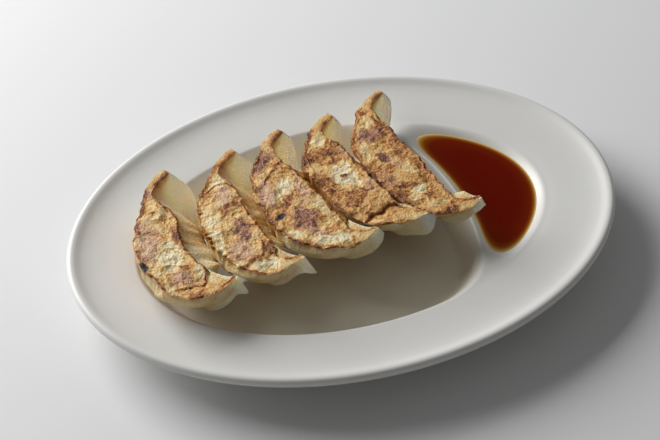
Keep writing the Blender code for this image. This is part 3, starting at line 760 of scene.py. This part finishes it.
# Each dumpling: middle and heading of its fold, how it curls and bulges, half widths of the face
# left and right of the fold every 8 mm from the near tip, how far its tips lift, lean, droop and
# flare, how much shade is painted on its right flank and near skirt, and what browned where
# (kind, x, y, length, breadth, heading, strength) or creased.
GYOZA = {
    "gyoza_1": dict(
        x=-82.6, y=0.8, heading=-0.6, curl=0.70, far_bend=28.0, near_bend=94.0, length=96.4,
        face=9.9, taper=1.3, bulge_out=1.2, bulge_in=11.0, near_bulge=3.5, cheek=13.0,
        pleat=0.5, flank_shade=-0.05, skirt_shade=0.20, seed=100,
        left=(0.9, 1.2, 5.0, 10.1, 10.0, 10.9, 9.5, 7.8, 5.4, 2.8, 1.8, 2.4, 2.3),
        right=(0.8, 0.9, 6.0, 10.2, 10.4, 9.9, 10.2, 10.9, 11.6, 8.2, 1.4, 0.8, 0.8),
        lean=0.42, far_lift=0.0, far_lean=0.85, far_droop=45.0, far_seam=7.5, far_reach=0.00, far_flare=0.65,
        near_lift=0, near_droop=130.0, near_hang=0.55, near_seam=1.5, near_flare=0.8,
        far_brown=1.0, near_brown=0.8, toast=0.38, rim=1,
        points=((-48.0, 3.5, 1.5), (-44.0, 4.0, 1.5)), ribs=(0.0, 0.0, 0.0),
        patches=(("rosy", -86, 5, 14, 4.5, 14, 0.9), ("gold", -82, 22, 5, 3.5, 20, 0.8),
                 ("plum", -75, 32, 3.5, 2.6, 20, 0.95), ("pale", -76, 19, 4.5, 2.6, 10, 0.7),
                 ("brown", -72.5, 25, 6, 1.2, -8, 0.9), ("tan", -76, 12, 5, 3, 0, 0.7),
                 ("dark", -73, 4.5, 4.6, 2.0, 22, 0.95), ("gold", -81, 10, 5, 2.5, 0, 0.6),
                 ("pale", -80, -6.5, 9, 4.6, 8, 0.95), ("rosy", -73, -4, 4, 2, 0, 0.6),
                 ("rosy", -80, -20, 5, 4.5, 0, 0.8), ("tan", -75, -15.5, 3.5, 3, 0, 0.7),
                 ("pale", -71, -19, 4, 2.4, -10, 0.8), ("pale", -87, -26, 5, 2.5, -20, 0.7),
                 ("tan", -77, -28, 9, 3, 80, 0.6), ("brown", -75, -30.5, 6, 2.0, 80, 0.85),
                 ("char", -92, -9, 3.0, 2.2, 0, 1.0)),
        creases=((((-71, -10), (-68.5, -17), (-68.5, -22.5), (-73, -26.5), (-80, -26)), 0.5),)),
    "gyoza_2": dict(
        x=-52.0, y=3.2, heading=0.5, curl=0.60, far_bend=35.0, near_bend=92.0, length=95.1,
        face=10.2, taper=1.5, bulge_out=2.5, bulge_in=9.4, near_bulge=2.0, cheek=13.5,
        pleat=0.9, flank_shade=0.06, skirt_shade=0.16, seed=200,
        left=(0.8, 1.2, 5.2, 7.9, 10.0, 10.9, 10.4, 9.6, 8.0, 4.7, 2.0, 2.2, 2.2),
        right=(0.8, 4.0, 8.6, 10.9, 11.4, 11.3, 10.9, 10.3, 10.0, 7.4, 0.9, 0.8, 0.8),
        lean=0.42, far_lift=0.0, far_lean=0.75, far_droop=40.0, far_seam=7.0, far_reach=0.03, far_flare=0.6,
        near_lift=0, near_droop=115.0, near_hang=0.5, near_seam=1.2, near_flare=0.3,
        far_brown=0.95, near_brown=0.85, toast=0.37, rim=0.6,
        points=((-47.5, 9.0, 4.0),), ribs=(-26.0, 14.0, 0.7),
        patches=(("pale", -48, 30, 6, 5, 40, 0.85), ("rosy", -48, 18.5, 7, 4, 35, 0.85),
                 ("gold", -53, 14, 8, 2.5, 10, 0.6), ("brown", -50, 10, 4, 1.8, 40, 0.75),
                 ("plum", -48, -3, 7, 3.6, 5, 0.9), ("rosy", -52.5, -14.5, 7, 5, 0, 0.8),
                 ("gold", -41, 6, 10, 2.2, 0, 0.8), ("pale", -60, -6, 15, 2.6, 4, 0.95),
                 ("brown", -41.5, -18, 5.5, 2.6, -30, 0.9), ("gold", -39, -10, 6, 2, -8, 0.7),
                 ("pale", -46.5, -26, 7.5, 3, 80, 0.9)),
        creases=((((-57, -25), (-51, -23.5), (-46, -19.5), (-44, -15.5)), -0.5),
                 (((-54, 23), (-48, 26.5), (-43, 26), (-41, 22)), 0.45))),
    "gyoza_3": dict(
        x=-23.7, y=4.8, heading=-9.0, curl=0.67, far_bend=38.0, near_bend=80.0, length=96.6,
        face=11.4, taper=1.6, bulge_out=0.3, bulge_in=8.6, near_bulge=4.5, cheek=11.5,
        pleat=0.5, flank_shade=0.26, skirt_shade=-0.02, seed=300,
        left=(0.9, 2.3, 5.4, 10.6, 13.2, 12.8, 12.2, 11.9, 9.6, 7.0, 3.4, 2.8, 2.2),
        right=(0.8, 4.0, 8.6, 10.9, 12.0, 13.6, 13.4, 12.7, 11.2, 8.7, 5.0, 0.9, 0.8),
        lean=0.42, far_lift=0.1, far_lean=0.6, far_droop=45.0, far_seam=5.0, far_reach=0.08, far_flare=0.45,
        near_lift=0, near_droop=115.0, near_hang=0.5, near_seam=1.8, near_flare=0.6,
        far_brown=0.92, near_brown=0.65, toast=0.45, rim=0.9,
        points=((-46.0, 3.0, 4.5),), ribs=(0.0, 0.0, 0.0),
        patches=(("plum", -25.5, 32, 9, 3.6, 45, 0.9), ("dark", -20.5, 36, 4, 1.6, 30, 0.8),
                 ("gold", -26.5, 24, 8, 2.8, 65, 0.9), ("pale", -30, 36.5, 4, 1.6, 45, 0.6),
                 ("rosy", -30.5, 12.5, 9, 4.5, 15, 0.9), ("pale", -22.5, 13, 9.5, 3, 25, 0.95),
                 ("rosy", -16, 11, 9, 2.6, 5, 0.8), ("brown", -23.5, 6, 3.2, 1.9, 45, 0.95),
                 ("brown", -27, 2, 6, 1.0, 8, 0.7), ("plum", -21.5, -7, 8.5, 4.8, 10, 0.9),
                 ("pale", -30, -14.5, 5, 3, 100, 0.95), ("pale", -11.5, -4.5, 9, 3.6, -10, 0.75),
                 ("rosy", -20, -16.5, 5, 3, -20, 0.8), ("brown", -14, -17, 5, 1.3, 70, 0.7),
                 ("pale", -15.5, -22.5, 9, 3, 100, 0.95), ("brown", -27, -21.5, 6, 1.5, 130, 0.8),
                 ("char", -31, -2, 3.1, 1.6, 62, 1.0)),
        creases=((((-36, 17), (-29.5, 19), (-23.5, 25), (-18.5, 29)), -0.4),)),
    "gyoza_4": dict(
        x=2.8, y=9.2, heading=-12.0, curl=0.56, far_bend=52.0, near_bend=54.0, length=89.7,
        face=10.3, taper=2.2, bulge_out=2.6, bulge_in=5.5, near_bulge=2, cheek=8.0,
        pleat=0.5, flank_shade=0.30, skirt_shade=-0.04, seed=400,
        left=(1.0, 2.6, 5.9, 10.8, 12.6, 12.2, 10.7, 11.1, 10.4, 6.3, 3.9, 2.6, 2.4),
        right=(0.8, 0.9, 4.6, 7.8, 9.8, 10.2, 10.8, 10.6, 10.8, 9.8, 3.5, 0.8, 0.8),
        lean=0.36, far_lift=0.1, far_lean=0.5, far_droop=50.0, far_seam=4.0, far_reach=0.12, far_flare=0.35,
        near_lift=0, near_droop=120.0, near_hang=0.5, near_seam=3, near_flare=0.6,
        far_brown=1.0, near_brown=0.6, toast=0.50, rim=0.8,
        points=((-40.0, 2.0, 5.0),), ribs=(0.0, 0.0, 0.0),
        patches=(("pale", 2, 38, 5.5, 4, 20, 0.9), ("dark", 4.5, 44, 3, 1.6, 70, 0.95),
                 ("brown", -5.5, 34, 7, 1.5, 30, 0.9), ("brown", 1, 28, 9, 2.6, 80, 0.85),
                 ("dark", -7, 24.5, 3, 1.6, 80, 0.9), ("gold", -4.5, 18.5, 4.5, 3.5, 0, 0.8),
                 ("rosy", 10, 26, 4, 3, 0, 0.5), ("brown", -4.5, 9, 9, 2.8, 0, 0.95),
                 ("brown", 3, -4.5, 8, 4, 50, 0.9), ("pale", 5.2, 11.5, 11, 5.4, -5, 1.0),
                 ("dark", 4, 11.5, 1.4, 1.2, 0, 0.9), ("gold", 6.5, 6, 1.7, 1.4, 0, 0.8),
                 ("dark", 14.8, 17, 6, 1.1, -5, 0.95), ("dark", 17, 7, 2.8, 1.4, 0, 0.95),
                 ("dark", 17.5, -1, 3, 1.2, 0, 0.9), ("rosy", 12, 2, 5, 2.5, 0, 0.6),
                 ("tan", 8, -9, 8, 4, 60, 0.7), ("tan", 11, -17, 10, 3.6, 100, 0.8)),
        creases=((((21.5, -20.5), (18, -13.5), (14.5, -12.5), (1, -18.5), (-4, -15)), 1.2),)),
    "gyoza_5": dict(
        x=26.7, y=11.4, heading=-8.0, curl=0.51, far_bend=46.0, near_bend=60.0, length=95.6,
        face=10.2, taper=2.2, bulge_out=0.3, bulge_in=2, near_bulge=0.5, cheek=6.0,
        pleat=0.4, flank_shade=0.16, skirt_shade=0.04, seed=500,
        left=(1.0, 5.5, 10.0, 11.9, 12.6, 12.0, 12.0, 12.0, 10.7, 7.7, 4.6, 2.7, 2.2),
        right=(0.8, 0.9, 5.0, 7.9, 9.4, 10.9, 11.9, 10.8, 9.8, 8.6, 5.2, 0.9, 0.8),
        lean=0.3, far_lift=0.1, far_lean=0.5, far_droop=50.0, far_seam=4.0, far_reach=0.22, far_flare=0.35,
        near_lift=0.1, near_droop=125.0, near_hang=0.5, near_seam=2.5, near_flare=0.4,
        far_brown=0.85, near_brown=0.85, toast=0.56, rim=0.9,
        points=((-46.0, 1.5, 3.0),), ribs=(0.0, 0.0, 0.0),
        patches=(("dark", 27, 46, 4.6, 1.5, 82, 0.9), ("gold", 24, 40, 6, 4, 20, 0.9),
                 ("pale", 28.5, 38.5, 4, 2.6, 40, 0.7), ("plum", 24.5, 31, 7.5, 4.2, 72, 0.85),
                 ("dark", 27, 29, 4, 0.9, 60, 0.8), ("dark", 20.5, 30.5, 3.4, 0.8, 80, 0.7),
                 ("pale", 18, 21, 6.5, 3, 10, 0.6), ("gold", 24, 16, 6.5, 5.5, 0, 0.7),
                 ("plum", 23.7, 16, 3.8, 2.7, 10, 1.0), ("dark", 23.9, 15.2, 2.0, 1.1, 20, 0.7),
                 ("brown", 33.5, 20, 8, 2, 8, 0.6), ("pale", 32, 5, 5.5, 3.2, 0, 0.6),
                 ("brown", 25, 8, 3, 2, 0, 0.6), ("rosy", 28, 11, 5, 3, 0, 0.5),
                 ("rosy", 20.5, 1, 5, 2.6, 0, 0.6), ("pale", 28, -10, 6.5, 2.6, 55, 0.9),
                 ("brown", 21, -11.5, 3, 2, 0, 0.85), ("gold", 33, -19, 6, 3.4, 90, 0.85),
                 ("tan", 38.5, -14, 7, 3, -10, 0.7), ("brown", 31, -26, 6, 1.8, 100, 0.8),
                 ("dark", 37.5, -25, 3, 1.9, 70, 1.0)),
        creases=((((34.5, 19), (35.5, 27), (32.5, 36), (29.5, 42.5)), -0.4),)),
}
for name, shape in GYOZA.items():
    gyoza(name, shape)
